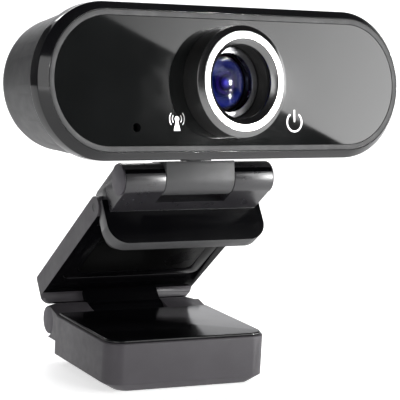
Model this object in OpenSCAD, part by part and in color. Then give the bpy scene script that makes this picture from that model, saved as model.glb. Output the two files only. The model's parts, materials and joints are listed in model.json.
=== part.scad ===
// Desktop webcam on a folding monitor clip.
// The clip is a three-piece Z: a lip that hooks over a screen, an arm, and a foot with a
// tripod thread. The camera head tilts on the lip's knuckles and swivels on its neck.
// Origin: mouth of the tripod thread, in the middle of the foot's underside.
// +X is to the right as seen from the front, +Y is backwards, +Z is up; the lens looks to -Y.

/* [Head] */
// Overall width of the camera head
head_w = 102; // [94:1:116]
// Overall height of the camera head
head_h = 34.5; // [33.5:0.5:38]
// Depth of the camera head, without the lens
head_d = 24; // [22:0.5:26]
// Depth of the glossy front shell
shell_d = 4.8; // [4.6:0.1:6]
// Width of the satin frame round the front panel
frame_w = 1.45; // [1.2:0.05:1.6]
// Width of the glossy chamfer outside the frame
chamfer_w = 1.75; // [1.4:0.05:1.9]
// Depth of the glossy chamfer
chamfer_d = 1.9; // [1:0.1:2.4]
// Wall of the rear housing
wall = 1.6; // [1.2:0.1:2]

/* [Lens] */
// Sideways place of the lens on the front panel
lens_x = -1.8; // [-3:0.1:3]
// Radius of the black shroud round the lens
shroud_r = 12.5; // [12.2:0.1:12.6]
// How far the trim ring stands in front of the panel
shroud_l = 6; // [5:0.1:8]
// Radius of the bore in the trim ring
lens_bore_r = 8.3; // [8.2:0.05:8.5]
// Radius of the front glass
glass_r = 6.6; // [6:0.1:6.8]

/* [Neck and hinges] */
// Radius of the tilt hinge's knuckles
knuckle_r = 3.8; // [3.6:0.1:3.9]
// Overall length of the tilt hinge
tilt_hinge_l = 37.8; // [34:0.2:37.8]
// Width of the middle knuckle
neck_w = 17.6; // [14:0.2:18]
// Radius of the tilt hinge's pin
tilt_pin_r = 1.5; // [1.2:0.1:1.8]
// Radius of the foot hinge's knuckles
foot_knuckle_r = 4; // [3.8:0.1:4]
// Radius of the foot hinge's pin
foot_pin_r = 1.4; // [1:0.1:1.6]
// Radius of the elbow hinge's pin
elbow_pin_r = 1; // [0.8:0.1:1.2]

/* [Clip] */
// Thickness of the arm
arm_t = 5.2; // [5:0.1:5.6]
// Thickness of the lip plate
lip_t = 3.7; // [3.4:0.1:3.9]
// Length of the lip in front of the elbow hinge
lip_l = 11.4; // [10:0.1:16]
// Width of the lip plate
lip_w = 40.8; // [38.6:0.2:41]
// Radius of the lip's front corners
lip_corner_r = 4.8; // [3:0.1:5]

/* [Foot] */
// Width of the foot, and of the arm
foot_w = 41.6; // [41:0.2:44]
// Depth of the foot's block
foot_d = 32.6; // [32:0.2:37]
// Height of the foot's block with its lid
foot_h = 12.2; // [12:0.1:12.3]
// Radius of the foot's upright corners
foot_corner_r = 4.2; // [3:0.1:4.6]
// Radius of the tripod thread's wall
thread_r = 2.6; // [2.5:0.05:2.7]
// Depth of the tripod thread
thread_l = 7.2; // [5:0.1:7.4]

/* [Pose] */
// Swivel of the head, positive towards +X
head_pan = 10; // [-20:1:20]
// Backward tilt of the head
head_tilt = 8.4; // [-5:0.1:20]
// Slope of the arm, down towards the back
arm_slope = 38; // [36:1:44]

/* [Hidden] */
$fn = 64;
EPS = 0.01;

// ---- hinge axes, as [y, z] in the part's frame ----
foot_axis = [foot_d / 2 + 6.4, foot_h + 0.7 - foot_knuckle_r];
elbow_to_foot = [41.3, -9.25];
elbow_axis = foot_axis - turn(elbow_to_foot, -arm_slope);
slab_slope = 37.3;
slab_l = 12.3;
elbow_drop = 0.57;
tilt_axis = elbow_axis - turn([slab_l, -elbow_drop], -slab_slope);
lip_slope = 54;

// ---- foot ----
foot_chamfer = [3.2, 1.4];
foot_chamfer_h = 1.8;
foot_wall = 1.8;
foot_floor = 2.2;
lid_z = foot_h - 0.6;
lid_inset = 0.5;
sole_t = 1;
sole_w = foot_w - 9;
sole_d = foot_d - 6;
post_x = foot_w / 2 - 7;
post_y = foot_d / 2 - 6.4;
post_r = 2.4;
screw_r = 0.75;
tongue_w = 20;
hinge_gap = 0.2;
foot_cap_t = 0.4;
foot_hinge_x = foot_w / 2 - 0.6;

// ---- arm, in its own frame: y along the arm from the elbow, z out of its outer face ----
arm_end = 42;
arm_flange_z = 5;
ear_t = 1.6;
ear_clear = 5;
arm_pocket = [7, 32];
arm_pocket_top = 1;
arm_cover_t = 1.4;
arm_pad_t = 0.6;
arm_screw_head = 0.4;

// ---- lip bracket ----
bracket_w = tilt_hinge_l;
lip_top = 3.95;
lip_pad_t = 1.1;
lip_pad_d = 5.7;

// ---- head, in its own frame: x right, y up, z out of the front face ----
r_out = head_h / 2;
half = head_w / 2 - r_out;
r_frame = r_out - chamfer_w;
r_panel = r_frame - frame_w;
r_rear = r_out - 0.5;
rear_round = 5.5;
rear_taper = 1.9;
panel_t = 1.4;
panel_z = -0.1;
frame_d = 2.6;
floor_t = 1.4;
board_z = -14.2;
board_t = 1.2;
pan_y = -1.2;
pan_to_panel = 15.2;
head_rise = knuckle_r + 0.45 + r_out;
boss_r = 4.8;
boss_bottom = -(r_out - 0.15);
boss_top = -11.5;
stud_r = 2.2;
neck_top = 4;
icon_y = -8.6;
icon_x = [-16.4, 18];
mic_at = [-26.9, -10.1];
mic_r = 1;

// ---- helpers ----
function turn(p, a) = [p[0] * cos(a) - p[1] * sin(a), p[0] * sin(a) + p[1] * cos(a)];
function arc(c, r, a0, a1, n) =
    [for (i = [0:n]) let (a = a0 + (a1 - a0) * i / n) [c[0] + r * cos(a), c[1] + r * sin(a)]];

// Outline of a rectangle with round corners, from exact circles and squares
module round_rect(w, d, r) {
    square([w, d - 2 * r], center = true);
    square([w - 2 * r, d], center = true);
    for (sx = [-1, 1], sy = [-1, 1])
        translate([sx * (w / 2 - r), sy * (d / 2 - r)]) circle(r);
}

// Solid pill whose section is a closed [radius, z] profile that starts and ends on the axis
module pill(profile) {
    for (s = [-1, 1])
        translate([s * half, 0, 0]) rotate_extrude() polygon(profile);
    rotate([90, 0, 90]) linear_extrude(2 * half, center = true) {
        polygon(profile);
        mirror([1, 0]) polygon(profile);
    }
}

// Straight-walled pill between two depths
module pill_slab(r, z0, z1) {
    pill([[0, z0], [r, z0], [r, z1], [0, z1]]);
}

// Bar along X with a [y, z] outline
module bar(w) {
    rotate([90, 0, 90]) linear_extrude(w, center = true) children();
}

// Cylinder along X, centred on a [y, z] point
module rod(at, r, w) {
    translate([0, at[0], at[1]]) rotate([0, 90, 0]) cylinder(r = r, h = w, center = true);
}

// The same child on both sides of the middle plane
module both_sides() {
    children();
    mirror([1, 0, 0]) children();
}

// Frames of the moving pieces
module at_arm() {
    translate([0, elbow_axis[0], elbow_axis[1]]) rotate([-arm_slope, 0, 0]) children();
}
module at_lip() {
    translate([0, elbow_axis[0], elbow_axis[1]]) rotate([lip_slope, 0, 0]) children();
}
module at_slab() {
    translate([0, tilt_axis[0], tilt_axis[1]]) rotate([-slab_slope, 0, 0]) children();
}
module at_neck() {
    translate([0, tilt_axis[0], tilt_axis[1]]) rotate([-head_tilt, 0, 0]) children();
}
module at_head() {
    at_neck() translate([0, pan_y, 0]) rotate([0, 0, head_pan])
        translate([0, -pan_to_panel, head_rise]) rotate([90, 0, 0]) children();
}

// Axis of the swivel, drawn upwards from the neck
module on_swivel() {
    at_neck() translate([0, pan_y, 0]) children();
}

// ================= foot =================
// Plan of the foot: round front corners, square back ones
module foot_plan(inset, r) {
    w = foot_w - 2 * inset[0];
    d = foot_d - 2 * inset[1];
    round_rect(w, d, r);
    translate([-w / 2, 0]) square([w, d / 2]);
}

module foot_posts() {
    for (sx = [-1, 1], sy = [-1, 1])
        translate([sx * post_x, sy * post_y, 0]) children();
}

module foot_base() {
    inner_w = foot_w - 2 * foot_wall;
    inner_d = foot_d - 2 * foot_wall;
    color("dimgray") difference() {
        union() {
            difference() {
                hull() {
                    linear_extrude(EPS) foot_plan(foot_chamfer, 3);
                    translate([0, 0, foot_chamfer_h])
                        linear_extrude(lid_z - 0.35 - foot_chamfer_h) foot_plan([0, 0], foot_corner_r);
                    translate([0, 0, lid_z - 0.1 - EPS])
                        linear_extrude(EPS) foot_plan([0.2, 0.2], foot_corner_r - 0.2);
                }
                translate([0, 0, foot_floor]) linear_extrude(foot_h)
                    round_rect(inner_w, inner_d, foot_corner_r - foot_wall);
            }
            foot_posts() cylinder(r = post_r, h = 6.4);
            cylinder(r = 7, h = 8.2);
            both_sides() foot_knuckle();
        }
        translate([0, 0, -EPS]) linear_extrude(sole_t + 0.05 + EPS)
            round_rect(sole_w + 0.2, sole_d + 0.2, 3);
        translate([0, 0, -1]) cylinder(r = 4.42, h = 12);
        foot_posts() translate([0, 0, -1]) cylinder(r = screw_r + 0.3, h = 9);
        foot_posts() translate([0, 0, -1]) cylinder(r = 2.1, h = 3.1);
        rod(foot_axis, foot_pin_r + 0.02, foot_w + 2);
    }
}

// One outer knuckle with its bevelled end, and the web that ties it to the block
module foot_knuckle() {
    inner_x = tongue_w / 2 + hinge_gap;
    bevel_w = 2;
    end_x = foot_hinge_x - foot_cap_t;
    web_w = foot_w / 2 - 0.2 - inner_x;
    translate([(inner_x + end_x - bevel_w) / 2, 0, 0])
        rod(foot_axis, foot_knuckle_r, end_x - bevel_w - inner_x);
    translate([end_x - bevel_w, foot_axis[0], foot_axis[1]]) rotate([0, 90, 0])
        cylinder(r1 = foot_knuckle_r, r2 = foot_knuckle_r - 0.5, h = bevel_w);
    difference() {
        translate([inner_x + web_w / 2, 0, 0]) bar(web_w) polygon([
            [foot_d / 2 - foot_wall, foot_axis[1] - foot_knuckle_r],
            [foot_axis[0], foot_axis[1] - foot_knuckle_r],
            [foot_axis[0], foot_axis[1]],
            [foot_axis[0] - 1.1, foot_axis[1] + foot_knuckle_r - 0.16],
            [foot_d / 2, lid_z - 0.1],
            [foot_d / 2 - foot_wall, lid_z - 0.1]
        ]);
        translate([end_x - bevel_w + 5, 0, 0]) rod(foot_axis, foot_knuckle_r + 0.05, 10);
    }
}

module foot_lid() {
    bevel = 0.25;
    color("black") difference() {
        union() {
            hull() {
                translate([0, 0, lid_z]) linear_extrude(foot_h - lid_z - bevel)
                    foot_plan([lid_inset, lid_inset], foot_corner_r - 0.4);
                translate([0, 0, foot_h - EPS]) linear_extrude(EPS)
                    foot_plan([lid_inset + bevel, lid_inset + bevel], foot_corner_r - 0.6);
            }
            translate([0, 0, lid_z - 0.9]) linear_extrude(1) difference() {
                round_rect(foot_w - 4, foot_d - 4, foot_corner_r - 2);
                round_rect(foot_w - 6, foot_d - 6, foot_corner_r - 3);
            }
            foot_posts() translate([0, 0, 6.5]) cylinder(r = post_r - 0.4, h = lid_z - 6.4);
        }
        foot_posts() translate([0, 0, 5]) cylinder(r = screw_r + 0.03, h = 5.5);
    }
}

module foot_sole() {
    color("#202020") linear_extrude(sole_t) difference() {
        round_rect(sole_w, sole_d, 2.9);
        circle(6.1);
    }
}

module foot_weight() {
    color("slategray") translate([0, 0, foot_floor + 0.1]) linear_extrude(7.6) difference() {
        square([2 * (post_x - post_r) - 1, foot_d - 2 * foot_wall - 1], center = true);
        circle(7.3);
    }
}

module tripod_insert() {
    color("goldenrod") difference() {
        union() {
            cylinder(r = 5.9, h = sole_t);
            cylinder(r = 4.4, h = 8);
        }
        translate([0, 0, -1]) cylinder(r = thread_r, h = thread_l + 1);
    }
}

module foot_screws() {
    color("silver") foot_posts() {
        translate([0, 0, sole_t + 0.1]) cylinder(r = 1.9, h = 0.95);
        translate([0, 0, sole_t + 1]) cylinder(r = screw_r, h = 7.6);
    }
}

module foot_pin() {
    color("silver") rod(foot_axis, foot_pin_r, 2 * (foot_hinge_x - foot_cap_t) - 0.2);
}

module foot_pin_caps() {
    color("gray") both_sides()
        translate([foot_hinge_x - foot_cap_t / 2, 0, 0])
            rod(foot_axis, foot_knuckle_r - 0.6, foot_cap_t - 0.04);
}

module foot_washers() {
    color("silver") both_sides() translate([(tongue_w + hinge_gap) / 2, 0, 0]) difference() {
        rod(foot_axis, 2.6, hinge_gap - 0.1);
        rod(foot_axis, foot_pin_r + 0.1, 1);
    }
}

// ================= arm =================
// Rounds the arm's corners in plan
module arm_plan_mask() {
    translate([0, arm_end / 2 - 3.5, -20]) linear_extrude(40) round_rect(foot_w, arm_end + 9, 1.8);
}

// Side outline of the arm's slab, with its round upper end
module arm_outline() {
    t = arm_t / 2;
    polygon(concat([[0, t]], arc([arm_end - 1.2, t - 1.2], 1.2, 90, 0, 4), [[arm_end, -t], [0, -t]]));
    circle(t);
}

// Flange across the arm's lower end, with a small fillet above it and round ends
module arm_flange() {
    t = arm_t / 2;
    end_r = 3;
    intersection() {
        bar(foot_w) polygon(concat(
            arc([arm_end - 1, 1 - arm_flange_z], 1, 0, -90, 4),
            [[arm_end - 1.6, -arm_flange_z]],
            arc([arm_end - 2.4, -t - 0.8], 0.8, 0, 90, 3),
            [[arm_end - 3, 0], [arm_end, 0]]
        ));
        translate([0, arm_end + 1, 10 - arm_flange_z]) rotate([90, 0, 0]) linear_extrude(10)
            round_rect(foot_w, 20, end_r);
    }
}

module arm_shell() {
    body_w = foot_w - 2 * ear_t;
    color("dimgray") at_arm() difference() {
        union() {
            intersection() {
                union() {
                    bar(foot_w) arm_outline();
                    arm_flange();
                }
                arm_plan_mask();
            }
            bar(tongue_w) polygon([
                [arm_end - 3, -2], [elbow_to_foot[0] - 3, elbow_to_foot[1] + 2.6], elbow_to_foot,
                [elbow_to_foot[0] + 3, elbow_to_foot[1] + 2.6], [arm_end, -2]
            ]);
            rod(elbow_to_foot, foot_knuckle_r, tongue_w);
        }
        rod([0, 0], ear_clear, body_w);
        rod([0, 0], elbow_pin_r + 0.01, foot_w + 2);
        rod(elbow_to_foot, foot_pin_r + 0.05, foot_w);
        difference() {
            translate([0, (arm_pocket[0] + arm_pocket[1]) / 2, -arm_t / 2 - EPS])
                linear_extrude(arm_t / 2 + arm_pocket_top + EPS)
                    round_rect(37, arm_pocket[1] - arm_pocket[0], 2);
            arm_posts() translate([0, 0, arm_cover_t - arm_t / 2 + 0.03]) cylinder(r = 2, h = 4);
        }
        arm_posts() translate([0, 0, -arm_t]) cylinder(r = screw_r + 0.05, h = arm_t + 0.8);
    }
}

module arm_posts() {
    for (sx = [-1, 1], y = [arm_pocket[0] + 4, arm_pocket[1] - 4])
        translate([sx * 12, y, 0]) children();
}

module arm_cover() {
    color("black") at_arm() difference() {
        translate([0, (arm_pocket[0] + arm_pocket[1]) / 2, -arm_t / 2])
            linear_extrude(arm_cover_t) round_rect(36.8, arm_pocket[1] - arm_pocket[0] - 0.2, 1.9);
        arm_pad_slab(0.1, 1);
        arm_posts() {
            translate([0, 0, -arm_t]) cylinder(r = screw_r + 0.1, h = 6);
            translate([0, 0, -arm_t / 2]) cylinder(r = 1.4, h = arm_pad_t + arm_screw_head);
        }
    }
}

module arm_pad_slab(grow, below) {
    translate([0, (arm_pocket[0] + arm_pocket[1]) / 2, -arm_t / 2 - below])
        linear_extrude(arm_pad_t + below) round_rect(31 + 2 * grow, 19 + 2 * grow, 2);
}

module arm_pad() {
    color("#181818") at_arm() arm_pad_slab(0, 0);
}

module arm_screws() {
    color("silver") at_arm() arm_posts() translate([0, 0, -arm_t / 2 + arm_pad_t + 0.02]) {
        cylinder(r = 1.3, h = arm_screw_head - 0.04);
        cylinder(r = screw_r, h = 2.4);
    }
}

module elbow_pin() {
    color("dimgray") rod(elbow_axis, elbow_pin_r, foot_w - 0.1);
}

// ================= lip =================
// Neck slab between the tilt hinge and the elbow, in the slab's frame
module slab_outline() {
    polygon([[0, -knuckle_r], [slab_l, -knuckle_r], [slab_l, knuckle_r], [0, knuckle_r]]);
    circle(knuckle_r);
    translate([slab_l, 0]) circle(knuckle_r);
}

module lip_plate() {
    over = 3;
    difference() {
        intersection() {
            translate([0, 0, lip_top - lip_t / 2]) cube([lip_w, 4 * lip_l, lip_t], center = true);
            translate([0, -lip_l + 20, -5]) linear_extrude(20) round_rect(lip_w, 40, lip_corner_r);
        }
        translate([0, 20 + over, 0]) cube([lip_w + 2, 40, 20], center = true);
        both_sides() translate([bracket_w / 2 + 5.05, 0, 0]) for (p = [[0, 0], [-1.2, -1.2]])
            rod(p, arm_t / 2 + 0.3, 10);
        both_sides() translate([bracket_w / 2 + 5.05, 5, 0]) cube([10, 10, 20], center = true);
    }
}

module lip_bracket() {
    color("#3a3a3e") difference() {
        union() {
            at_slab() bar(bracket_w) slab_outline();
            at_lip() lip_plate();
        }
        at_slab() rod([0, 0], knuckle_r + 2.1, neck_w + 0.3);
        at_slab() translate([0, -4, 4]) cube([neck_w + 0.3, 8, 8], center = true);
        rod(tilt_axis, tilt_pin_r + 0.02, 60);
        rod(elbow_axis, elbow_pin_r + 0.05, 60);
    }
}

module lip_pad() {
    color("#202020") at_lip() translate([0, -lip_l + 0.8 + lip_pad_d / 2, lip_top - lip_t - lip_pad_t])
        linear_extrude(lip_pad_t) round_rect(lip_w - 1.6, lip_pad_d, 2.8);
}

module tilt_pin() {
    color("silver") rod(tilt_axis, tilt_pin_r, bracket_w - 0.1);
}

module tilt_pin_caps() {
    color("gray") both_sides() translate([bracket_w / 2 + 0.22, 0, 0])
        rod(tilt_axis, knuckle_r - 0.15, 0.4);
}

module tilt_washers() {
    gap = 0.15;
    color("silver") both_sides() translate([neck_w / 2 + gap / 2, 0, 0]) difference() {
        rod(tilt_axis, 2.9, gap - 0.05);
        rod(tilt_axis, tilt_pin_r + 0.1, 1);
    }
}

// ================= neck =================
module neck_knuckle() {
    color("gray") difference() {
        at_neck() union() {
            rod([0, 0], knuckle_r, neck_w);
            translate([0, 0, neck_top / 2]) cube([neck_w, 2 * knuckle_r, neck_top], center = true);
        }
        rod(tilt_axis, tilt_pin_r + 0.05, neck_w + 1);
        on_swivel() translate([0, 0, 2]) cylinder(r = stud_r, h = 5);
    }
}

module swivel_stud() {
    top = head_rise + boss_top + 2;
    color("silver") on_swivel() translate([0, 0, 2]) cylinder(r = stud_r, h = top - 2);
}

module swivel_washer() {
    color("dimgray") on_swivel() translate([0, 0, neck_top + 0.03]) difference() {
        cylinder(r = 3.6, h = 0.3);
        translate([0, 0, -1]) cylinder(r = stud_r + 0.05, h = 3);
    }
}

module swivel_retainer() {
    color("silver") on_swivel() translate([0, 0, head_rise + boss_top + 0.1]) difference() {
        union() {
            cylinder(r = 3.1, h = 0.6);
            cylinder(r = 2.8, h = 1.5);
        }
        translate([0, 0, -1]) cylinder(r = stud_r, h = 4);
    }
}

// ================= head: covers =================
module front_shell() {
    color("#0c0c0e") at_head() difference() {
        pill([
            [0, -shell_d], [r_out, -shell_d], [r_out, -chamfer_d], [r_frame, 0], [0, 0]
        ]);
        pill_slab(r_frame - 0.1, -frame_d, 1);
        pill_slab(r_out - 1.8, -shell_d - 1, -frame_d - floor_t);
        translate([lens_x, 0, -10]) cylinder(r = 13.1, h = 12);
        translate([mic_at[0], mic_at[1], -10]) cylinder(r = mic_r, h = 12);
        for (x = icon_x) translate([x, icon_y, -10]) cylinder(r = 1.7, h = 12);
        screw_places() {
            translate([0, 0, -10]) cylinder(r = screw_r + 0.2, h = 12);
            translate([0, 0, -frame_d - 0.8]) cylinder(r = 1.5, h = 2);
        }
    }
}

module trim_frame() {
    color("dimgray") at_head() difference() {
        pill_slab(r_frame - 0.15, -frame_d + 0.02, 0);
        pill_slab(r_panel + 0.08, panel_z - panel_t - 0.02, 1);
        pill_slab(r_panel - 0.8, -frame_d - 1, 1);
    }
}

module front_panel() {
    color("#050505") at_head() difference() {
        pill_slab(r_panel, panel_z - panel_t, panel_z);
        translate([lens_x, 0, -5]) cylinder(r = shroud_r + 0.05, h = 10);
        translate([mic_at[0], mic_at[1], -5]) cylinder(r = mic_r, h = 10);
    }
}

// Places of the four screws that the front panel hides
module screw_places() {
    for (sx = [-1, 1], sy = [-1, 1]) translate([sx * (half + 1), sy * 11.4, 0]) children();
}

// Pill that narrows towards a rounded back
module rear_outline(r, round_r, z_front, z_back) {
    pill(concat(
        [[0, z_back]],
        arc([r - rear_taper - round_r, z_back + round_r], round_r, -90, 0, 10),
        [[r, z_front], [0, z_front]]
    ));
}

module rear_housing() {
    inner_r = r_rear - wall;
    color("#55555a") at_head() difference() {
        union() {
            difference() {
                union() {
                    rear_outline(r_rear, rear_round, -shell_d - 0.05, -head_d);
                    pill_slab(r_out - 1.9, -shell_d - 0.1, -frame_d - floor_t - 0.1);
                }
                rear_outline(inner_r, rear_round - wall, -shell_d - 0.05, -head_d + wall);
                pill_slab(r_out - 3.1, -shell_d - 1, 0);
            }
            swivel_boss();
            intersection() {
                screw_places() translate([0, 0, -head_d + 1]) cylinder(r = 2, h = head_d - 5.2);
                rear_outline(r_rear - 0.4, rear_round, -shell_d - 0.05, -head_d + 0.4);
            }
            board_posts() translate([0, 0, -head_d + 1]) cylinder(r = 2, h = board_z - board_t + head_d - 1);
        }
        translate([0, boss_bottom - 1, -pan_to_panel]) rotate([-90, 0, 0])
            cylinder(r = stud_r + 0.05, h = 10);
        screw_places() translate([0, 0, -14]) cylinder(r = screw_r + 0.03, h = 12);
        board_posts() translate([0, 0, -head_d + 2.4]) cylinder(r = screw_r + 0.03, h = 12);
        translate([0, -2, -head_d - 1]) cylinder(r = 2.6, h = 5);
    }
}

// Round boss that carries the swivel under the housing
module swivel_boss() {
    translate([0, boss_bottom, -pan_to_panel]) rotate([-90, 0, 0])
        cylinder(r = boss_r, h = boss_top - boss_bottom);
}

module board_posts() {
    for (sx = [-1, 1], sy = [-1, 1]) translate([sx * 26, sy * 7 - 0.5, 0]) children();
}

module housing_screws() {
    color("silver") at_head() screw_places() {
        translate([0, 0, -frame_d - 0.78]) cylinder(r = 1.4, h = 0.7);
        translate([0, 0, -frame_d - 9]) cylinder(r = screw_r, h = 8.5);
    }
}

module cable_gland() {
    color("#101010") at_head() translate([0, -2, 0]) difference() {
        union() {
            translate([0, 0, -head_d - 0.8]) cylinder(r1 = 3, r2 = 3.5, h = 0.8);
            translate([0, 0, -head_d]) cylinder(r = 2.55, h = 3.4);
        }
        translate([0, 0, -head_d - 5]) cylinder(r = 1.8, h = 12);
    }
}

// ================= head: lens =================
module on_lens() {
    at_head() translate([lens_x, 0, 0]) children();
}

module lens_shroud() {
    color("#141416") on_lens() rotate_extrude() polygon([
        [10.9, panel_z - panel_t - 1.2], [13, panel_z - panel_t - 1.2], [13, panel_z - panel_t - 0.05],
        [shroud_r, panel_z - panel_t - 0.05], [shroud_r, shroud_l - 1], [10.9, shroud_l - 1]
    ]);
}

module lens_trim_ring() {
    color("gainsboro") on_lens() rotate_extrude() polygon([
        [shroud_r, shroud_l - 0.98], [shroud_r, shroud_l - 0.85], [11.1, shroud_l], [9.65, shroud_l],
        [lens_bore_r, shroud_l - 1], [lens_bore_r, shroud_l - 1.6], [9.05, shroud_l - 1.6],
        [9.05, 2], [10.85, 2], [10.85, shroud_l - 0.98]
    ]);
}

module lens_baffle() {
    color("#0a0a0a") on_lens() rotate_extrude() polygon([
        [lens_bore_r, -0.9], [9, -0.9], [9, shroud_l - 1.63], [lens_bore_r, shroud_l - 1.63]
    ]);
}

// Stepped metal cell that carries the glass, with its barrel behind
module lens_cell() {
    color("silver") on_lens() rotate_extrude() polygon([
        [glass_r + 0.05, 0.2], [glass_r + 0.35, 0.2], [glass_r + 0.35, 0.35], [7.3, 0.35], [7.3, 0.5],
        [7.9, 0.5], [8.25, 0.1], [8.25, -3.6], [6.4, -3.6], [6.4, -11], [5.2, -11], [5.2, -2.8],
        [glass_r + 0.05, -2.8]
    ]);
}

module front_glass() {
    sag = 1.3;
    big_r = (glass_r * glass_r + sag * sag) / (2 * sag);
    half_angle = asin(glass_r / big_r);
    color("#203080") on_lens() rotate_extrude() polygon(concat(
        [[0, -2.7], [glass_r, -2.7]],
        arc([0, -0.1 + sag - big_r], big_r, 90 - half_angle, 90, 16)
    ));
}

module lens_spacer() {
    color("#101010") on_lens() rotate_extrude()
        polygon([[3.4, -6.2], [5.15, -6.2], [5.15, -2.85], [4.6, -2.85]]);
}

module rear_glass() {
    color("lightblue") on_lens() translate([0, 0, -9.4]) cylinder(r = 5.15, h = 3.1);
}

module ir_filter() {
    color("#802040") on_lens() translate([-4, -4, -12.9]) cube([8, 8, 0.5]);
}

module lens_holder() {
    color("#151515") on_lens() difference() {
        union() {
            translate([-8.5, -8.5, board_z]) cube([17, 17, 3]);
            translate([0, 0, board_z + 3]) cylinder(r = 8, h = 6);
        }
        translate([0, 0, board_z + 3.15]) cylinder(r = 6.43, h = 9);
        translate([0, 0, board_z - 1]) cylinder(r = 5, h = 6);
        translate([-5.2, -5.2, board_z - 1]) cube([10.4, 10.4, 3.4]);
    }
}

module image_sensor() {
    color("#303840") on_lens() translate([-4.5, -4.5, board_z + 0.02]) cube([9, 9, 1.1]);
}

// ================= head: electronics =================
module main_board() {
    color("darkgreen") at_head() difference() {
        translate([-30, -10.5, board_z - board_t]) cube([60, 20, board_t - 0.02]);
        translate([-6, -12, board_z - 3]) cube([12, 3.4, 6]);
        board_posts() translate([0, 0, board_z - 3]) cylinder(r = screw_r + 0.1, h = 6);
    }
}

module board_screws() {
    color("silver") at_head() board_posts() {
        translate([0, 0, board_z]) cylinder(r = 1.5, h = 0.9);
        translate([0, 0, board_z - 4]) cylinder(r = screw_r, h = 4.2);
    }
}

module processor() {
    color("#101010") at_head() translate([12, -1, board_z]) cube([7, 7, 0.9]);
}

module cable_socket() {
    color("ivory") at_head() translate([-5, 2, board_z - board_t - 3.02]) cube([10, 4, 3]);
}

module microphone() {
    color("silver") at_head() translate([mic_at[0], mic_at[1], -frame_d - floor_t - 2.2])
        cylinder(r = 2, h = 2.1);
}

module status_leds() {
    color("white") at_head() for (x = icon_x)
        translate([x - 0.8, icon_y - 0.5, board_z]) cube([1.6, 1, 0.6]);
}

module light_pipes() {
    color("whitesmoke") at_head() for (x = icon_x) translate([x, icon_y, 0]) {
        translate([0, 0, board_z + 0.8]) cylinder(r = 1.3, h = panel_z - panel_t - board_z - 0.9);
        translate([0, 0, -frame_d - floor_t - 1.1]) cylinder(r = 2.2, h = 1);
    }
}

foot_base();
foot_lid();
foot_sole();
foot_weight();
tripod_insert();
foot_screws();
foot_pin();
foot_pin_caps();
foot_washers();
arm_shell();
arm_cover();
arm_pad();
arm_screws();
elbow_pin();
lip_bracket();
lip_pad();
tilt_pin();
tilt_pin_caps();
tilt_washers();
neck_knuckle();
swivel_stud();
swivel_washer();
swivel_retainer();
front_shell();
trim_frame();
front_panel();
lens_shroud();
lens_trim_ring();
lens_baffle();
lens_cell();
front_glass();
lens_spacer();
rear_glass();
ir_filter();
lens_holder();
image_sensor();
main_board();
board_screws();
processor();
cable_socket();
microphone();
status_leds();
light_pipes();
rear_housing();
housing_screws();
cable_gland();
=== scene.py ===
"""Looks of the desktop webcam on its folding clip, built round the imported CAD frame.

Lengths are written in millimetres and scaled by MM, since the frame is in metres.
The head's pieces are modelled in the head's own frame: x right, y up, z out of the front.
"""

import json
from math import cos, pi, radians, sin

import bmesh
import bpy
from mathutils import Matrix, Vector


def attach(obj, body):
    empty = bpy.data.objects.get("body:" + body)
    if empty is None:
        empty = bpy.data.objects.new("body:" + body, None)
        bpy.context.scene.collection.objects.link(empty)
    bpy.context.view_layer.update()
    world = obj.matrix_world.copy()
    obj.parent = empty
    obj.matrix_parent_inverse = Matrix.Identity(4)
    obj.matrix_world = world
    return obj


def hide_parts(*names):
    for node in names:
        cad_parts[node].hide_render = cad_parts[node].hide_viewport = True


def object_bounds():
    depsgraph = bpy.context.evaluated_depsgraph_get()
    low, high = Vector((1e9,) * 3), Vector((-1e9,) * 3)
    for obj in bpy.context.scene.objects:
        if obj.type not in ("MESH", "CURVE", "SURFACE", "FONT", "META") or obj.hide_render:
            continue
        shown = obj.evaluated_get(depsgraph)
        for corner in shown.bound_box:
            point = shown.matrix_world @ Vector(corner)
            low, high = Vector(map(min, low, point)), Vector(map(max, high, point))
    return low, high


MM = 0.001
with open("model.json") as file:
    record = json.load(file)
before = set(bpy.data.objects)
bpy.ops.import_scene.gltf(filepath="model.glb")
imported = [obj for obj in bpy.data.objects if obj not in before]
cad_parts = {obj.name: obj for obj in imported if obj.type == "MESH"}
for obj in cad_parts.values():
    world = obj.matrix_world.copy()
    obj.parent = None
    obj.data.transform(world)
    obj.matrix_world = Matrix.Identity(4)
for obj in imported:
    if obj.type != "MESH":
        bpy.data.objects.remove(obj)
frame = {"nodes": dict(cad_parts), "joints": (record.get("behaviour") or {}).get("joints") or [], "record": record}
cad_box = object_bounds()
record = frame["record"]
mounts = {m["name"]: m for m in record["mounts"]}
joints = {j["name"]: j for j in frame["joints"]}

# ---- driving sizes that the CAD part has too, in mm and degrees ----
R_OUT = 17.25
R_FRAME = 15.5
R_PANEL = 14.05
HALF = 33.75
SHELL_D = 4.8
CHAMFER_D = 1.9
FRAME_D = 2.6
LEDGE_W = 0.8
HEAD_D = 24.0
GLAND_PROUD = 0.8
GLAND_DROP = 2.0
PANEL_Z = -0.1
LENS_X = -1.8
SHROUD_R = 12.5
SHROUD_BORE_R = 10.9
SHROUD_L = 6.0
RING_SKIRT_R = 10.85
RING_SEAT_R = 9.05
BORE_R = 8.3
GLASS_R = 6.6
CELL_R = 8.25
ARM_LEAN = -38
LIP_LEAN = 54
TONGUE_W = 20

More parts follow.
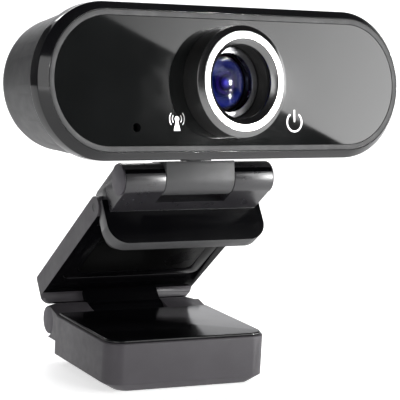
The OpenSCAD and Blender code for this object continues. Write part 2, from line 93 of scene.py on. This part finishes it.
# ---- sizes of the finer pieces only, in mm ----
SHELL_BORE_R = 15.45
SHELL_STEP = 0.08
FRAME_GAP = 0.12
LEDGE_DROP = 1.42
SHROUD_DROP = 1.45
RING_FACE_R = (9.6, 11.15)
RING_CHAMFER_D = 0.82
BORE_CHAMFER_D = 1.05
BAFFLE_GROOVES = 9
GROOVE_PITCH = 0.55
GROOVE_D = 0.12
CELL_STEPS = 5
INNER_GLASS_R = 6.5
SIGN_PROUD = (0.005, 0.03)
SIGNAL_AT = (-16.2, -8.2)
POWER_AT = (17.3, -8.9)
LIP_NECK_REACH = 5.5
TONGUE_REACH = 6.5
TONGUE_SLACK = 0.01


# ================= frames =================
def head_matrix():
    """The head's frame, from the swivel axis and the cable inlet at the back."""
    up = Vector(joints["swivel"]["axis"]).normalized()
    inlet = mounts["cable_inlet"]
    front = -Vector(inlet["axis"]).normalized()
    right = up.cross(front).normalized()
    origin = Vector(inlet["pos_m"])
    origin += front * (HEAD_D + GLAND_PROUD) * MM + up * GLAND_DROP * MM
    rotation = Matrix((right, up, front)).transposed().to_4x4()
    return Matrix.Translation(origin) @ rotation


HEAD = head_matrix()
LENS = HEAD @ Matrix.Translation((LENS_X * MM, 0, 0))


# ================= materials =================
class Shader:
    """A Principled material whose details come from noise in the object's own coordinates."""

    def __init__(self, name, colour, rough, metallic=0.0, ior=1.5):
        self.mat = bpy.data.materials.new(name)
        self.mat.use_nodes = True
        self.tree = self.mat.node_tree
        self.bsdf = self.tree.nodes["Principled BSDF"]
        self.bsdf.inputs["Metallic"].default_value = metallic
        self.bsdf.inputs["IOR"].default_value = ior
        self.coords = self.tree.nodes.new("ShaderNodeTexCoord").outputs["Object"]
        self.colour = colour
        self.rough = rough

    def node(self, kind, **inputs):
        made = self.tree.nodes.new(kind)
        for key, value in inputs.items():
            made.inputs[key.replace("_", " ")].default_value = value
        return made

    def link(self, a, b):
        self.tree.links.new(a, b)

    def noise(self, size_mm, detail=3.0):
        made = self.node("ShaderNodeTexNoise", Scale=1 / (size_mm * MM), Detail=detail)
        self.link(self.coords, made.inputs["Vector"])
        return made.outputs["Fac"]

    def tone(self, size_mm, spread, detail=3.0):
        """Base colour that wanders a little about the material's own."""
        ramp = self.node("ShaderNodeValToRGB")
        low, high = ramp.color_ramp.elements
        low.position, high.position = 0.3, 0.7
        low.color = [c * (1 - spread) for c in self.colour] + [1]
        high.color = [min(1, c * (1 + spread)) for c in self.colour] + [1]
        self.link(self.noise(size_mm, detail), ramp.inputs["Fac"])
        self.link(ramp.outputs["Color"], self.bsdf.inputs["Base Color"])
        return self

    def gloss(self, size_mm, spread):
        """Roughness that wanders a little about the material's own."""
        span = self.node("ShaderNodeMapRange", From_Min=0.3, From_Max=0.7)
        span.inputs["To Min"].default_value = self.rough * (1 - spread)
        span.inputs["To Max"].default_value = self.rough * (1 + spread)
        self.link(self.noise(size_mm), span.inputs["Value"])
        self.link(span.outputs["Result"], self.bsdf.inputs["Roughness"])
        return self

    def bump(self, height, size_mm, depth_mm, detail=2.0):
        """Relief from a height, or from noise of the given size when height is None."""
        source = height if height is not None else self.noise(size_mm, detail)
        made = self.node("ShaderNodeBump", Strength=1.0, Distance=depth_mm * MM)
        self.link(source, made.inputs["Height"])
        self.link(made.outputs["Normal"], self.bsdf.inputs["Normal"])
        return self

    def grain(self, size_mm, depth_mm, detail=2.0):
        """Fine relief from noise."""
        return self.bump(None, size_mm, depth_mm, detail)

    def radius(self):
        """Distance from the object's own z axis."""
        flat = self.node("ShaderNodeVectorMath")
        flat.operation = "MULTIPLY"
        flat.inputs[1].default_value = (1, 1, 0)
        self.link(self.coords, flat.inputs[0])
        length = self.node("ShaderNodeVectorMath")
        length.operation = "LENGTH"
        self.link(flat.outputs["Vector"], length.inputs[0])
        return length.outputs["Value"]

    def turned(self, pitch_mm, depth_mm):
        """Fine grooves round the axis, as a lathe leaves them."""
        noise = self.node("ShaderNodeTexNoise", Scale=1 / (pitch_mm * MM), Detail=2.0)
        noise.noise_dimensions = "1D"
        self.link(self.radius(), noise.inputs["W"])
        return self.bump(noise.outputs["Fac"], pitch_mm, depth_mm)

    def rings(self, stops):
        """Base colour by distance from the axis: stops of (mm, colour)."""
        ramp = self.node("ShaderNodeValToRGB")
        reach = stops[-1][0]
        elements = ramp.color_ramp.elements
        while len(elements) < len(stops):
            elements.new(0.5)
        for element, (at, colour) in zip(elements, stops):
            element.position = at / reach
            element.color = list(colour) + [1]
        span = self.node("ShaderNodeMapRange", From_Max=reach * MM)
        self.link(self.radius(), span.inputs["Value"])
        self.link(span.outputs["Result"], ramp.inputs["Fac"])
        self.link(ramp.outputs["Color"], self.bsdf.inputs["Base Color"])
        return self

    def set(self, **inputs):
        for key, value in inputs.items():
            self.bsdf.inputs[key.replace("_", " ")].default_value = value
        return self

    def radial(self, amount):
        """Highlights drawn out across the turned grooves."""
        tangent = self.node("ShaderNodeTangent")
        tangent.direction_type = "RADIAL"
        tangent.axis = "Z"
        self.link(tangent.outputs["Tangent"], self.bsdf.inputs["Tangent"])
        return self.set(Anisotropic=amount)


def satin(name, colour, rough=0.42, shine=0.5):
    """Moulded or painted surface with a fine, even grain."""
    made = Shader(name, colour, rough).tone(6, 0.08).gloss(2.5, 0.12).grain(0.22, 0.012)
    return made.set(Specular_IOR_Level=shine)


def polish(name, colour, rough=0.07, shine=0.5, ior=1.5):
    """Polished plastic: a faint waviness and a little haze."""
    made = Shader(name, colour, rough, ior=ior).tone(12, 0.15).gloss(9, 0.25).grain(14, 0.006, 0.0)
    return made.set(Specular_IOR_Level=shine)


def metal(name, colour, rough):
    """Bare metal with a fine grain."""
    return Shader(name, colour, rough, 1.0).tone(1.5, 0.06).gloss(0.8, 0.2).grain(0.12, 0.003)


def soft_rubber(name, colour):
    """Dull rubber with a coarse grain."""
    return Shader(name, colour, 0.75).tone(2, 0.15).gloss(1, 0.1).grain(0.35, 0.03)


def brushed_ring():
    """Bright ring with fine turned grooves."""
    return (Shader("ring_brushed", (0.2, 0.2, 0.2), 0.2, 1.0).tone(3, 0.03)
            .gloss(0.5, 0.15).turned(0.12, 0.0012).radial(0.7))


def cell_metal():
    """Darker turned metal of the lens cell."""
    return (Shader("cell_steel", (0.2, 0.2, 0.205), 0.38, 1.0).tone(2, 0.08)
            .gloss(0.4, 0.15).turned(0.1, 0.006))


def front_glass_coating():
    """Clear glass with a faint blue cast. Its low IOR stands for an anti-reflection coating."""
    made = Shader("lens_glass", (0.7, 0.76, 1.0), 0.06, ior=1.14).tone(5, 0.03).gloss(4, 0.2)
    return made.grain(9, 0.001, 0.0).set(Transmission_Weight=1.0)


def inner_glass_painted_rings():
    """Dark blue coated glass behind the front glass, with coloured rings painted into its base colour as painted
    reflections of the inner elements.
    """
    made = Shader("lens_glass_rear", (0.01, 0.02, 0.2), 0.07, ior=1.16).gloss(3, 0.4).grain(8, 0.001, 0.0)
    return made.rings([
        (0.0, (0.09, 0.05, 0.6)), (0.8, (0.02, 0.01, 0.16)), (1.6, (0.002, 0.001, 0.008)),
        (2.4, (0.02, 0.006, 0.09)), (2.9, (0.001, 0.003, 0.02)), (3.9, (0.002, 0.008, 0.1)),
        (4.9, (0.004, 0.014, 0.19)), (5.6, (0.001, 0.003, 0.03)), (6.1, (0.012, 0.001, 0.001)),
        (6.5, (0.002, 0.001, 0.001)),
    ])


def circuit():
    """Green board with a mottled mask."""
    return (Shader("circuit_board", (0.012, 0.09, 0.035), 0.3).tone(1.2, 0.35).gloss(3, 0.2)
            .grain(0.6, 0.02))


FINISHES = {
    "clip_satin_plastic": lambda: satin("clip_satin_plastic", (0.055, 0.051, 0.057), 0.42, 0.22),
    "foot_gloss_lid": lambda: polish("foot_gloss_lid", (0.002, 0.002, 0.0025), 0.15, 0.4),
    "foot_rubber": lambda: soft_rubber("foot_rubber", (0.02, 0.02, 0.02)),
    "plain_steel": lambda: metal("plain_steel", (0.45, 0.45, 0.46), 0.45),
    "insert_brass": lambda: metal("insert_brass", (0.75, 0.55, 0.25), 0.3),
    "fastener_steel": lambda: metal("fastener_steel", (0.5, 0.5, 0.52), 0.35),
    "pin_steel": lambda: metal("pin_steel", (0.6, 0.6, 0.62), 0.25),
    "pin_black": lambda: metal("pin_black", (0.05, 0.05, 0.052), 0.4),
    "hinge_cap": lambda: satin("hinge_cap", (0.045, 0.04, 0.05), 0.45, 0.4),
    "washer_steel": lambda: metal("washer_steel", (0.55, 0.55, 0.56), 0.35),
    # Near-black gloss of the arm's inner faces and cover; on the arm's tongue it is painted shade of the foot
    # hinge's wedge.
    "arm_inner_gloss": lambda: polish("arm_inner_gloss", (0.002, 0.002, 0.0025), 0.2, 0.4, 1.14),
    "arm_pad_rubber": lambda: polish("arm_pad_rubber", (0.002, 0.002, 0.002), 0.3, 0.4, 1.14),
    "bracket_satin": lambda: satin("bracket_satin", (0.018, 0.017, 0.02), 0.3, 0.8),
    "lip_rubber": lambda: soft_rubber("lip_rubber", (0.02, 0.02, 0.02)),
    # Satin of the neck; on the lip's front faces its lighter colour is a painted sheen.
    "neck_satin": lambda: satin("neck_satin", (0.06, 0.06, 0.062), 0.5, 0.4),
    "washer_polymer": lambda: satin("washer_polymer", (0.05, 0.05, 0.05), 0.5),
    "shell_gloss_black": lambda: polish("shell_gloss_black", (0.005, 0.005, 0.006), 0.1, 0.45),
    "frame_satin_grey": lambda: satin("frame_satin_grey", (0.022, 0.022, 0.023), 0.42, 0.12),
    "panel_gloss_black": lambda: polish("panel_gloss_black", (0.006, 0.0065, 0.0065), 0.025),
    "shroud_black": lambda: satin("shroud_black", (0.012, 0.012, 0.012), 0.36),
    "ring_brushed": brushed_ring,
    "baffle_black": lambda: satin("baffle_black", (0.003, 0.003, 0.003), 0.7),
    "cell_steel": cell_metal,
    "lens_glass": front_glass_coating,
    "lens_glass_rear": inner_glass_painted_rings,
    "filter_glass": lambda: polish("filter_glass", (0.3, 0.04, 0.08), 0.05),
    "holder_plastic": lambda: satin("holder_plastic", (0.02, 0.02, 0.02), 0.6),
    "sensor_ceramic": lambda: polish("sensor_ceramic", (0.03, 0.04, 0.05), 0.15),
    "circuit_board": circuit,
    "chip_plastic": lambda: satin("chip_plastic", (0.02, 0.02, 0.02), 0.6),
    "socket_nylon": lambda: satin("socket_nylon", (0.75, 0.72, 0.62), 0.5),
    "microphone_can": lambda: metal("microphone_can", (0.6, 0.6, 0.6), 0.35),
    "led_resin": lambda: polish("led_resin", (0.8, 0.8, 0.75), 0.2),
    "light_pipe": lambda: polish("light_pipe", (0.93, 0.93, 0.93), 0.25),
    "housing_matte": lambda: satin("housing_matte", (0.07, 0.07, 0.072), 0.5, 0.35),
    "gland_rubber": lambda: soft_rubber("gland_rubber", (0.015, 0.015, 0.015)),
}
MATERIALS = {slot: make().mat for slot, make in FINISHES.items()}
for part in record["subparts"]:
    cad_mesh = frame["nodes"][part["node"]].data
    cad_mesh.materials.clear()
    cad_mesh.materials.append(MATERIALS[part["material_slot"]])


# ================= mesh helpers =================
SAME_POINT = 0.001
FLAT_ANGLE = 0.4
EDGE_ANGLE = 32


def place(bm, name, slot, body, matrix=None, stands_for=(), sharp=40, facing=(), baked=False):
    """Turns a bmesh into a finished piece that rides on a body.
    facing is a list of (slot, test of a face) for other finishes on some of its faces.
    A baked piece has its matrix applied to its mesh, so its box is tight."""
    if baked:
        bm.transform(matrix)
        matrix = None
    bmesh.ops.recalc_face_normals(bm, faces=bm.faces)
    mesh = bpy.data.meshes.new(name)
    bm.to_mesh(mesh)
    bm.free()
    mesh.polygons.foreach_set("use_smooth", [True] * len(mesh.polygons))
    mesh.set_sharp_from_angle(angle=radians(sharp))
    mesh.materials.append(MATERIALS[slot])
    for k, (other, wanted) in enumerate(facing, 1):
        mesh.materials.append(MATERIALS[other])
        for face in mesh.polygons:
            if wanted(face):
                face.material_index = k
    piece = bpy.data.objects.new(name, mesh)
    bpy.context.scene.collection.objects.link(piece)
    if matrix is not None:
        piece.matrix_world = matrix
    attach(piece, body)
    if stands_for:
        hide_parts(*stands_for)
    return piece


def softened(node, slot, width, body, facing=()):
    """A copy of a CAD solid with its flat faces made whole and its sharp edges bevelled.
    The bevel is at most width, and far less where the solid's shortest edges leave no room."""
    bm = bmesh.new()
    bm.from_mesh(frame["nodes"][node].data)
    bmesh.ops.remove_doubles(bm, verts=bm.verts, dist=SAME_POINT * MM)
    bmesh.ops.dissolve_limit(bm, angle_limit=radians(FLAT_ANGLE), verts=bm.verts, edges=bm.edges)
    sharp = [e for e in bm.edges if e.is_manifold and e.calc_face_angle(0) > radians(EDGE_ANGLE)]
    bmesh.ops.bevel(bm, geom=sharp, offset=width * MM, segments=3, profile=0.5,
                    affect="EDGES", clamp_overlap=True)
    bmesh.ops.dissolve_degenerate(bm, edges=bm.edges, dist=0.0005 * MM)
    return place(bm, node + "_soft", slot, body, stands_for=[node], sharp=35, facing=facing)


def rounded(outline, radius, steps=4):
    """A closed outline with every corner rounded, by at most 0.4 of its shorter side."""
    made = []
    count = len(outline)
    for i in range(count):
        here = Vector(outline[i])
        before = Vector(outline[i - 1]) - here
        after = Vector(outline[(i + 1) % count]) - here
        reach = min(radius, 0.4 * before.length, 0.4 * after.length)
        start = here + before.normalized() * reach
        end = here + after.normalized() * reach
        for k in range(steps + 1):
            t = k / steps
            made.append(start * (1 - t) ** 2 + here * 2 * t * (1 - t) + end * t ** 2)
    return [(p.x, p.y) for p in made]


def arc(centre, radius, start, end, steps):
    """Points of an arc, with its ends, in degrees."""
    angles = [radians(start + (end - start) * k / steps) for k in range(steps + 1)]
    return [(centre[0] + radius * cos(a), centre[1] + radius * sin(a)) for a in angles]


def sweep(profile, stations, closed=True):
    """A surface from a (radius, z) profile carried round (centre_x, angle) stations, in mm."""
    bm = bmesh.new()
    rows = [[bm.verts.new(((cx + r * cos(a)) * MM, r * sin(a) * MM, z * MM)) for r, z in profile]
            for cx, a in stations]
    last = len(profile) if closed else len(profile) - 1
    for i in range(len(rows)):
        one, two = rows[i], rows[(i + 1) % len(rows)]
        for k in range(last):
            m = (k + 1) % len(profile)
            bm.faces.new((one[k], two[k], two[m], one[m]))
    bmesh.ops.remove_doubles(bm, verts=bm.verts, dist=0.0005 * MM)
    return bm


def lathe(profile, steps=192, closed=True):
    """The profile carried once round the z axis."""
    return sweep(profile, [(0, 2 * pi * k / steps) for k in range(steps)], closed)


def pill(profile, steps=72, closed=True):
    """The same for the head's pill: two half turns joined by straight runs."""
    stations = [(HALF, -pi / 2 + pi * k / steps) for k in range(steps + 1)]
    stations += [(-HALF, pi / 2 + pi * k / steps) for k in range(steps + 1)]
    return sweep(profile, stations, closed)


def stroke(bm, points, width, z0, z1, closed=False):
    """A flat raised line of even width along points, in mm."""
    count = len(points)
    rails = []
    for i, point in enumerate(points):
        here = Vector(point)
        ahead = Vector(points[(i + 1) % count if closed else min(i + 1, count - 1)])
        behind = Vector(points[i - 1 if closed or i else 0])
        along = (ahead - behind).normalized()
        side = Vector((-along.y, along.x)) * width / 2
        corners = ((here + side, z0), (here + side, z1), (here - side, z1), (here - side, z0))
        rails.append([bm.verts.new((p.x * MM, p.y * MM, z * MM)) for p, z in corners])
    for i in range(count if closed else count - 1):
        one, two = rails[i], rails[(i + 1) % count]
        for k in range(4):
            bm.faces.new((one[k], two[k], two[(k + 1) % 4], one[(k + 1) % 4]))
    if not closed:
        bm.faces.new(rails[0])
        bm.faces.new(rails[-1][::-1])


def plate(bm, outline, z0, z1):
    """A flat raised shape with a closed outline, in mm."""
    low = [bm.verts.new((x * MM, y * MM, z0 * MM)) for x, y in outline]
    high = [bm.verts.new((x * MM, y * MM, z1 * MM)) for x, y in outline]
    bm.faces.new(low[::-1])
    bm.faces.new(high)
    for i in range(len(outline)):
        k = (i + 1) % len(outline)
        bm.faces.new((low[i], low[k], high[k], high[i]))


# ================= head =================
def front_rim():
    """Gloss shell with its chamfer, and the satin frame inside it."""
    step_r = R_FRAME - SHELL_STEP
    shell = rounded([(SHELL_BORE_R, -SHELL_D), (R_OUT, -SHELL_D), (R_OUT, -CHAMFER_D), (R_FRAME, 0),
                     (step_r, -0.06), (step_r, -FRAME_D)], 0.22)
    place(pill(shell), "shell_rim", "shell_gloss_black", "head", HEAD, ["front_shell"], baked=True)
    ledge = PANEL_Z - LEDGE_DROP
    inner, outer, seat = R_PANEL + 0.06, R_FRAME - FRAME_GAP, R_PANEL - LEDGE_W
    trim = rounded([(inner, 0), (outer, 0), (outer, -FRAME_D),
                    (seat, -FRAME_D), (seat, ledge), (inner, ledge)], 0.12)
    place(pill(trim), "satin_frame", "frame_satin_grey", "head", HEAD, ["trim_frame"], baked=True)


def lens_barrel():
    """Shroud, turned ring and the black baffle in its bore."""
    base, top = PANEL_Z - SHROUD_DROP, SHROUD_L
    shroud = rounded([(SHROUD_BORE_R, base), (SHROUD_R, base), (SHROUD_R, top - 1),
                      (SHROUD_BORE_R, top - 1)], 0.15)
    place(lathe(shroud), "lens_shroud_turned", "shroud_black", "head", LENS, ["lens_shroud"], baked=True)
    face_in, face_out = RING_FACE_R
    ring = rounded([
        (SHROUD_R, top - 0.98), (SHROUD_R, top - RING_CHAMFER_D), (face_out, top), (face_in, top),
        (BORE_R, top - BORE_CHAMFER_D), (BORE_R, top - 1.6), (RING_SEAT_R, top - 1.6),
        (RING_SEAT_R, 2), (RING_SKIRT_R, 2), (RING_SKIRT_R, top - 0.98),
    ], 0.1)
    place(lathe(ring), "lens_ring_turned", "ring_brushed", "head", LENS, ["lens_trim_ring"])
    tube = [(BORE_R, -0.9), (9, -0.9), (9, top - 1.63), (BORE_R, top - 1.63)]
    groove_r = BORE_R + GROOVE_D
    for k in range(BAFFLE_GROOVES):
        z = top - 2.2 - GROOVE_PITCH * k
        tube += [(BORE_R, z), (groove_r, z - 0.1), (groove_r, z - 0.42)]
    place(lathe(tube), "bore_baffle", "baffle_black", "head", LENS, ["lens_baffle"], baked=True)


def lens_cell():
    """Stepped metal cell round the glass. It is the front of the CAD cell, without its barrel."""
    outline = [(GLASS_R + 0.04, -2.6), (GLASS_R + 0.04, 0.1), (GLASS_R + 0.12, 0.2)]
    tread = (7.8 - GLASS_R - 0.25) / CELL_STEPS
    for k in range(CELL_STEPS):
        r = GLASS_R + 0.25 + tread * k
        z = 0.2 + 0.07 * k
        outline += [(r, z), (r + 0.02, z + 0.07)]
    outline += [(7.9, 0.55), (CELL_R, 0.1), (CELL_R, -3.5), (GLASS_R + 0.5, -3.5)]
    place(lathe(outline), "cell_turned", "cell_steel", "head", LENS, ["lens_cell"])


def dome(edge_r, sag, crown_z, steps=24):
    """Points of a dome from the axis out to its edge."""
    ball = (edge_r ** 2 + sag ** 2) / (2 * sag)
    made = []
    for k in range(steps + 1):
        r = edge_r * k / steps
        made.append((r, crown_z - ball + (ball ** 2 - r ** 2) ** 0.5))
    return made


def lens_glass():
    """A meniscus in front, and a coated element close behind it.
    The element lies further forward than the CAD's rear glass, which it stands for."""
    outer = dome(GLASS_R, 0.7, 0.85)
    inner = dome(5.7, 1.1, -0.3)[::-1]
    meniscus = outer + [(GLASS_R, -1.9)] + inner
    place(lathe(meniscus, closed=False), "front_meniscus", "lens_glass", "head", LENS,
          ["front_glass"], sharp=30)
    element = dome(INNER_GLASS_R, 1.2, -1.1) + [(INNER_GLASS_R, -2.9), (0, -2.9)]
    place(lathe(element, closed=False), "inner_element", "lens_glass_rear", "head", LENS,
          ["rear_glass"], sharp=30)


def signal_sign():
    """Mast with a round head, and two waves on each side."""
    bm = bmesh.new()
    z0, z1 = [PANEL_Z + proud for proud in SIGN_PROUD]
    cx, cy = SIGNAL_AT
    head = arc((cx, cy), 0.6, -62, 242, 28)
    foot = [(cx - 0.42, cy - 1.0), (cx - 0.9, cy - 2.62), (cx + 0.9, cy - 2.62), (cx + 0.42, cy - 1.0)]
    plate(bm, head + foot, z0, z1)
    for side in (0, 180):
        for radius, spread in ((1.25, 38), (2.0, 40)):
            wave = arc((cx, cy), radius, side - spread, side + spread, 20)
            stroke(bm, wave, 0.19, z0, z1)
    place(bm, "signal_sign", "light_pipe", "head", HEAD, baked=True)


def power_sign():
    """Broken ring with a bar in its gap."""
    bm = bmesh.new()
    z0, z1 = [PANEL_Z + proud for proud in SIGN_PROUD]
    cx, cy = POWER_AT
    stroke(bm, arc((cx, cy), 2.15, 126, 414, 72), 0.4, z0, z1)
    stroke(bm, [(cx, cy + 2.8), (cx, cy + 1.4), (cx, cy)], 0.4, z0, z1)
    place(bm, "power_sign", "light_pipe", "head", HEAD, baked=True)


front_rim()
lens_barrel()
lens_cell()
lens_glass()
signal_sign()
power_sign()
softened("rear_housing", "housing_matte", 0.15, "head")
softened("cable_gland", "gland_rubber", 0.2, "head")

# ================= clip =================
ARM_INNER_FACE = Matrix.Rotation(radians(ARM_LEAN), 3, "X") @ Vector((0, 0, -1))
LIP_FACE = Matrix.Rotation(radians(LIP_LEAN), 3, "X") @ Vector((0, 0, 1))
LIP_OUT = Matrix.Rotation(radians(LIP_LEAN), 3, "X") @ Vector((0, -1, 0))
SAME_WAY = 0.99
ELBOW = Vector(joints["elbow"]["pos_m"])
FOOT_HINGE = Vector(joints["foot_hinge"]["pos_m"])


def in_painted_shade_tongue(point):
    """Whether a point belongs to the arm's tongue in the foot hinge, whose faces are painted near black as shade
    in the hinge's wedge.
    """
    away = (point - FOOT_HINGE) / MM
    return abs(away.x) < TONGUE_W / 2 + TONGUE_SLACK and away.yz.length < TONGUE_REACH


softened("neck_knuckle", "neck_satin", 0.25, "neck")
# The lip's faces beyond LIP_NECK_REACH from the elbow get the lighter neck satin, whose lighter colour is a
# painted sheen for the light edge of the lip; its top faces get the black gloss.
softened("lip_bracket", "bracket_satin", 0.15, "lip", [
    ("neck_satin", lambda f: (f.center - ELBOW).dot(LIP_OUT) > LIP_NECK_REACH * MM),
    ("arm_inner_gloss", lambda f: f.normal.dot(LIP_FACE) > SAME_WAY),
])
softened("lip_pad", "lip_rubber", 0.2, "lip")
softened("tilt_pin_caps", "hinge_cap", 0.12, "lip")
# The arm's inner faces get the black inner gloss; the tongue's faces get it too, as painted shade of the wedge in
# the foot hinge.
softened("arm_shell", "clip_satin_plastic", 0.35, "arm", [
    ("arm_inner_gloss", lambda f: f.normal.dot(ARM_INNER_FACE) > SAME_WAY or in_painted_shade_tongue(f.center)),
])
softened("arm_cover", "arm_inner_gloss", 0.12, "arm")
softened("foot_base", "clip_satin_plastic", 0.15, "foot")
softened("foot_lid", "foot_gloss_lid", 0.2, "foot")
softened("foot_pin_caps", "hinge_cap", 0.1, "foot")
softened("foot_sole", "foot_rubber", 0.15, "foot")


# ================= stage =================
# The camera's place in metres, its turns in degrees and its long lens in mm.
CAMERA_AT = Vector((-0.18917, -0.38879, 0.10864))
CAMERA_YAW = 26.03
CAMERA_PITCH = 8.4
CAMERA_ROLL = 2.8
LENS_LENGTH = 164.1
FRAMING = (0.0743, -0.0263)
CARD_AWAY = 1.3
CARD_SIZE = (2.4, 0.9)
CARD_EDGE = ((-34.6, 13.75), (32.3, -14.16))
SPARK_AWAY = 1.1
SPARKS = ((0.0, 0.065, 8), (-0.105, 0.035, 2.4), (-0.19, 0.045, 4))
ARC_BARS = ((0.33, 3.5), (0.42, 3))
ARC_BAR_SIZE = (0.2, 0.035)


def camera():
    """A long lens, from the left and a little above."""
    data = bpy.data.cameras.new("camera")
    data.lens = LENS_LENGTH
    data.sensor_width = 36
    data.shift_x, data.shift_y = FRAMING
    data.clip_start, data.clip_end = 0.01, 50
    made = bpy.data.objects.new("camera", data)
    bpy.context.scene.collection.objects.link(made)
    turn = (Matrix.Rotation(radians(-CAMERA_YAW), 4, "Z")
            @ Matrix.Rotation(radians(90 - CAMERA_PITCH), 4, "X")
            @ Matrix.Rotation(radians(CAMERA_ROLL), 4, "Z"))
    made.matrix_world = Matrix.Translation(CAMERA_AT) @ turn
    bpy.context.scene.camera = made


def floor():
    """Pale sheet under the object."""
    bm = bmesh.new()
    bmesh.ops.create_grid(bm, x_segments=8, y_segments=8, size=12)
    mesh = bpy.data.meshes.new("floor")
    bm.to_mesh(mesh)
    bm.free()
    made = Shader("floor_paper", (0.9, 0.9, 0.9), 0.9).tone(300, 0.01)
    made.set(Emission_Color=(1, 1, 1, 1), Emission_Strength=0.6)
    mesh.materials.append(made.mat)
    sheet = bpy.data.objects.new("floor", mesh)
    sheet.location.z = -0.0002
    bpy.context.scene.collection.objects.link(sheet)


def aimed(origin, target):
    """Matrix whose -z axis looks from origin to target."""
    back = (origin - target).normalized()
    right = Vector((0, 0, 1)).cross(back).normalized()
    up = back.cross(right)
    return Matrix.Translation(origin) @ Matrix((right, up, back)).transposed().to_4x4()


def softbox(name, origin, target, width, height, power, shape="RECTANGLE", only_gloss=False):
    """Area light aimed at target; with only_gloss it is seen in reflections and lights nothing matt."""
    data = bpy.data.lights.new(name, "AREA")
    data.shape = shape
    data.size, data.size_y = width, height
    data.energy = power
    made = bpy.data.objects.new(name, data)
    bpy.context.scene.collection.objects.link(made)
    made.matrix_world = aimed(Vector(origin), Vector(target))
    made.visible_diffuse = not only_gloss


def lens_sparks():
    """Round lamps that the glass mirrors as a column of dots, and two bars for the arcs above.
    SPARKS holds (rise, diameter, power) and ARC_BARS (rise, power), in metres and watts."""
    front = LENS @ Vector((0, 0, 0))
    up = (HEAD.to_3x3() @ Vector((0, 1, 0))).normalized()
    mirror = front + reflected(front) * SPARK_AWAY
    for k, (rise, size, power) in enumerate(SPARKS):
        softbox("lens_spark_%d" % k, mirror + up * rise, front, size, size, power, "DISK", True)
    for k, (rise, power) in enumerate(ARC_BARS):
        softbox("arc_box_%d" % k, mirror + up * rise, front, *ARC_BAR_SIZE, power, only_gloss=True)


def flag(name, origin, target, width, height):
    """Black card that keeps the pale room out of the glossy sides."""
    bm = bmesh.new()
    bmesh.ops.create_grid(bm, x_segments=4, y_segments=4, size=0.5)
    for v in bm.verts:
        v.co = Vector((v.co.x * width, v.co.y * height, 0))
    mesh = bpy.data.meshes.new(name)
    bm.to_mesh(mesh)
    bm.free()
    mesh.materials.append(Shader(name + "_cloth", (0.004, 0.004, 0.004), 0.9).tone(5, 0.2).mat)
    card = bpy.data.objects.new(name, mesh)
    card.matrix_world = aimed(Vector(origin), Vector(target))
    card.visible_camera = False
    card.visible_shadow = False
    bpy.context.scene.collection.objects.link(card)


def reflected(point):
    """Direction in which the camera looks after a bounce on the front panel."""
    normal = HEAD.to_3x3() @ Vector((0, 0, 1))
    look = (point - CAMERA_AT).normalized()
    return look - 2 * look.dot(normal) * normal


def light_card():
    """Glowing card that the panel mirrors: its straight lower edge runs corner to corner."""
    ends = [HEAD @ Vector((x * MM, y * MM, PANEL_Z * MM)) for x, y in CARD_EDGE]
    left, right = [p + reflected(p) * CARD_AWAY for p in ends]
    along = (right - left).normalized()
    back = ((left + right) / 2 - (ends[0] + ends[1]) / 2).normalized()
    rise = back.cross(along).normalized()
    if rise.z < 0:
        rise = -rise
    side = rise.cross(back).normalized()
    length, height = CARD_SIZE
    middle = (left + right) / 2
    rotation = Matrix((side, rise, side.cross(rise))).transposed().to_4x4()
    bm = bmesh.new()
    bmesh.ops.create_grid(bm, x_segments=12, y_segments=12, size=0.5)
    for v in bm.verts:
        v.co = Vector((v.co.x * length, (v.co.y + 0.5) * height, 0))
    mesh = bpy.data.meshes.new("light_card")
    bm.to_mesh(mesh)
    bm.free()
    card = bpy.data.objects.new("light_card", mesh)
    card.matrix_world = Matrix.Translation(middle) @ rotation
    card.visible_camera = False
    bpy.context.scene.collection.objects.link(card)
    mesh.materials.append(card_glow())


def card_glow():
    """Light that grows from the card's left to its right."""
    mat = bpy.data.materials.new("card_glow")
    mat.use_nodes = True
    tree = mat.node_tree
    tree.nodes.clear()
    coords = tree.nodes.new("ShaderNodeTexCoord")
    split = tree.nodes.new("ShaderNodeSeparateXYZ")
    span = tree.nodes.new("ShaderNodeMapRange")
    span.inputs["From Min"].default_value = -0.17
    span.inputs["From Max"].default_value = 0.16
    span.inputs["To Min"].default_value = 0.6
    span.inputs["To Max"].default_value = 8.0
    glow = tree.nodes.new("ShaderNodeEmission")
    out = tree.nodes.new("ShaderNodeOutputMaterial")
    tree.links.new(coords.outputs["Object"], split.inputs[0])
    tree.links.new(split.outputs["X"], span.inputs["Value"])
    tree.links.new(span.outputs["Result"], glow.inputs["Strength"])
    tree.links.new(glow.outputs["Emission"], out.inputs["Surface"])
    return mat


def sky():
    """Dim room that is bright towards the back."""
    world = bpy.data.worlds.new("room")
    bpy.context.scene.world = world
    world.use_nodes = True
    tree = world.node_tree
    coords = tree.nodes.new("ShaderNodeTexCoord")
    split = tree.nodes.new("ShaderNodeSeparateXYZ")
    ramp = tree.nodes.new("ShaderNodeValToRGB")
    low, high = ramp.color_ramp.elements
    low.position, low.color = 0.78, (0.04, 0.04, 0.042, 1)
    high.position, high.color = 0.93, (0.9, 0.9, 0.92, 1)
    span = tree.nodes.new("ShaderNodeMapRange")
    span.inputs["From Min"].default_value = -1.0
    tree.links.new(coords.outputs["Generated"], split.inputs[0])
    tree.links.new(split.outputs["Y"], span.inputs["Value"])
    tree.links.new(span.outputs["Result"], ramp.inputs["Fac"])
    tree.links.new(ramp.outputs["Color"], tree.nodes["Background"].inputs["Color"])


camera()
floor()
light_card()
sky()
middle_of_part = (Vector(cad_box[0]) + Vector(cad_box[1])) / 2
softbox("left_box", (-1.05, -0.95, 0.35), middle_of_part, 1.0, 1.1, 9)
lens_sparks()
softbox("back_box", (0.6, 2.6, 1.7), (0.3, 1.2, 0), 1.8, 0.8, 40)
softbox("front_box", (0.62, -1.0, 0.65), middle_of_part, 0.5, 0.35, 4)
flag("left_flag", (-0.42, 0.30, 0.1), middle_of_part, 1.0, 0.6)
bpy.context.scene.view_settings.view_transform = "Standard"
